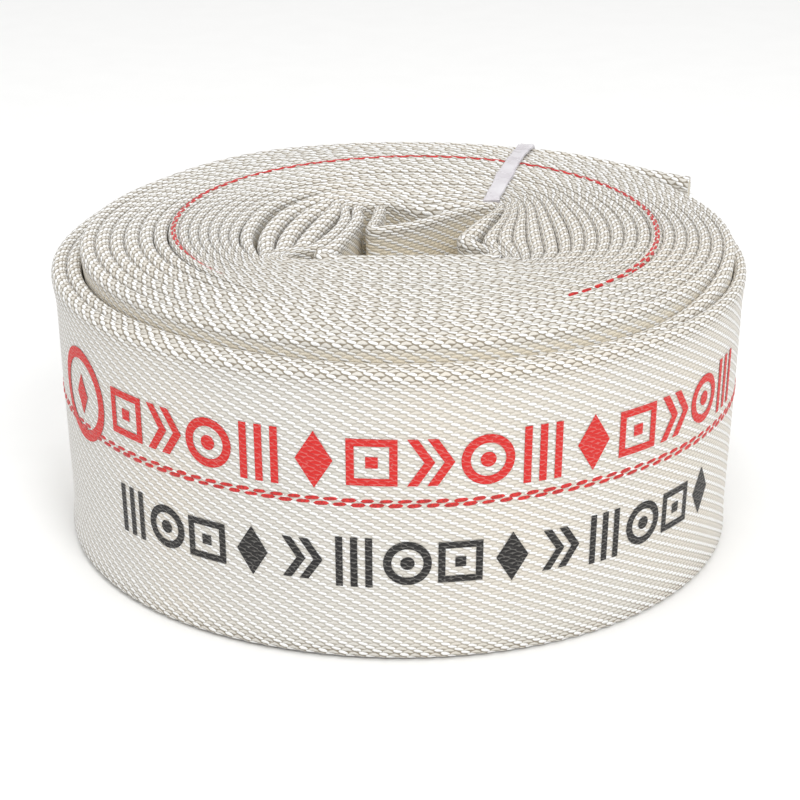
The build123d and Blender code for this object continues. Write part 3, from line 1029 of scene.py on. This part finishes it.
def tie_pieces():
    """The film, folded lengthwise in two, and the welded overlap on its outer side."""
    path = tie_path()
    direction = TIE_OUTSIDE - TIE_INSIDE
    direction = direction / np.linalg.norm(direction)
    sideways = np.array([-direction[1], direction[0]])
    step = np.roll(path, -1, 0) - np.roll(path, 1, 0)
    step /= np.linalg.norm(step, axis=1)[:, None]
    normal = np.stack([-step[:, 1], step[:, 0]], 1)
    # A hairpin: one layer, the fold along one edge, and the layer behind it.
    w = TIE_HALF_WIDTH
    hairpin = smooth([(-w, 0.42), (-w * 0.4, 0.62), (w * 0.3, 0.38), (w * 0.9, 0.45), (w, 0.2),
                      (w * 0.88, 0.02), (w * 0.2, 0.08), (-w * 0.5, -0.02), (-w * 0.92, 0.05)], steps=3)
    edge = np.gradient(hairpin, axis=0)
    edge /= np.linalg.norm(edge, axis=1)[:, None]
    square = np.stack([-edge[:, 1], edge[:, 0]], 1) * FILM_HALF
    section = np.vstack([hairpin + square, (hairpin - square)[::-1]])
    number = np.arange(len(path))
    pinch = 1 + 0.07 * np.sin(number * 0.21) + 0.04 * np.sin(number * 0.57 + 1)
    crumple = 0.16 * np.sin(number * 0.43 + 0.7) + 0.1 * np.sin(number * 0.91)
    side = section[None, :, 0] * pinch[:, None]
    lift = section[None, :, 1] + crumple[:, None] * (section[None, :, 0] / w)
    plane = path[:, None, :] - normal[:, None, :] * lift[..., None]
    xy = TIE_INSIDE + direction * plane[..., :1] + sideways * side[..., None]
    places = np.concatenate([xy, plane[..., 1:]], -1)
    rings, cols = places.shape[:2]
    faces = [tuple(f % (rings * cols)) for f in quads(rings + 1, cols)]
    band = mesh_object("film_tie", places.reshape(-1, 3), faces, film)
    weld = tie_weld(path, direction, sideways)
    for piece, node in ((band, "tie_band"), (weld, "tie_band_seal")):
        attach(piece, "roll")
        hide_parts(node)


def tie_weld(path, direction, sideways):
    """The ribbed weld that closes the loop, on the outer side of the roll."""
    far = path[:, 0].max()
    s, t = np.meshgrid(np.linspace(-1, 1, 9), np.linspace(-1, 1, 45), indexing="ij")
    ribs = 0.12 * np.cos(t * math.pi * 7) * (np.abs(t) < 0.86)
    points = []
    for layer in (1, -1):
        out = far + 0.42 + layer * (0.16 + (ribs if layer > 0 else 0))
        xy = TIE_INSIDE + direction * out[..., None] + sideways * (s * (TIE_HALF_WIDTH + 0.3))[..., None]
        points.append(np.concatenate([xy, (60.0 + 7.0 * t)[..., None]], -1).reshape(-1, 3))
    rows, cols = s.shape
    front = quads(rows, cols, closed=False)
    back = front[:, ::-1] + rows * cols
    border = [i * cols for i in range(rows)] + [(rows - 1) * cols + j for j in range(1, cols)]
    border += [i * cols + cols - 1 for i in range(rows - 2, -1, -1)] + list(range(cols - 2, 0, -1))
    rim = [
        (a + rows * cols, b + rows * cols, b, a)
        for a, b in zip(border, border[1:] + border[:1])
    ]
    faces = [tuple(f) for f in front] + [tuple(f) for f in back] + rim
    return mesh_object("film_tie_weld", np.vstack(points), faces, film)


tie_pieces()


# --- Frayed yarns at the outer cut end ---

def frayed(name, count, longest, body):
    """Loose filaments that stand out of the hose's outer end."""
    base = line[0]
    out = -tangent[0]
    side = outward[0]
    points = []
    faces = []
    sections = 6
    for number in range(count):
        height = rng.uniform(0.03, 0.985)
        z0 = lower_fold[0] + height * (upper_fold[0] - lower_fold[0])
        face = rng.choice((-1, 1))
        start = base + side * face * rng.uniform(0.9, 1.9) - out * 0.8
        length = rng.uniform(0.3, 1) * longest
        curl = rng.normal(0, 0.14, 2) * longest
        first = len(points) * 4
        for k in range(sections):
            share = k / (sections - 1)
            radius = 0.16 * (1 - 0.6 * share)
            middle = start + out * (0.8 + length * share) + side * curl[0] * share**2
            z = z0 + curl[1] * 1.6 * share**2
            corners = [(1, 0), (0, 1), (-1, 0), (0, -1)]
            points.append([[*(middle + side * a * radius), z + b * radius] for a, b in corners])
        faces += [tuple(f) for f in quads(sections, 4) + first]
    piece = mesh_object(name, np.array(points).reshape(-1, 3), faces, loose_yarn)
    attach(piece, body)
    return piece


frayed("frayed_yarns_tail_end", 60, 4.2, "tail_end")


# --- Studio ---

WORLD_LIGHT = 0.80
LIGHT_AIM = (0.0, 0.0, 0.05)
# (name, place, width in metres, power in watts)
SOFTBOXES = (
    ("key", (0.45, -1.2, 1.2), 0.6, 9.5),
    ("top", (-0.1, -0.15, 1.7), 0.9, 8.0),
)
CAMERA_TARGET = (0.0, 0.0, 0.052)
CAMERA_DISTANCE = 0.774
CAMERA_ELEVATION = 21.7  # degrees
CAMERA_LENS = 92.5
CAMERA_SHIFT = (0.00175, -0.0249)


def studio():
    """Pale floor, soft light and the camera at the photograph's angle."""
    scene = bpy.context.scene
    bpy.ops.mesh.primitive_plane_add(size=6.0, location=(0, 0, 0))
    floor = bpy.context.object
    floor.name = "studio_floor"
    floor.data.materials.append(floor_material())
    world = bpy.data.worlds.new("studio")
    world.use_nodes = True
    background = world.node_tree.nodes["Background"]
    background.inputs["Color"].default_value = (1.0, 1.0, 1.0, 1.0)
    background.inputs["Strength"].default_value = WORLD_LIGHT
    scene.world = world
    for name, place, size, power in SOFTBOXES:
        light = bpy.data.lights.new(name, "AREA")
        light.shape = "DISK"
        light.size = size
        light.energy = power
        lamp = bpy.data.objects.new(name, light)
        lamp.location = place
        aim = Vector(LIGHT_AIM) - Vector(place)
        lamp.rotation_mode = "QUATERNION"
        lamp.rotation_quaternion = aim.to_track_quat("-Z", "Y")
        scene.collection.objects.link(lamp)
    camera = bpy.data.cameras.new("camera")
    camera.lens = CAMERA_LENS
    camera.sensor_width = 36.0
    camera.shift_x, camera.shift_y = CAMERA_SHIFT
    camera.clip_start = 0.01
    camera.clip_end = 20.0
    viewer = bpy.data.objects.new("camera", camera)
    up = math.radians(CAMERA_ELEVATION)
    away = Vector((0.0, -math.cos(up), math.sin(up)))
    viewer.location = Vector(CAMERA_TARGET) + away * CAMERA_DISTANCE
    viewer.rotation_mode = "QUATERNION"
    viewer.rotation_quaternion = (-away).to_track_quat("-Z", "Y")
    scene.collection.objects.link(viewer)
    scene.camera = viewer
    scene.view_settings.view_transform = "Standard"
    scene.view_settings.look = "None"


studio()
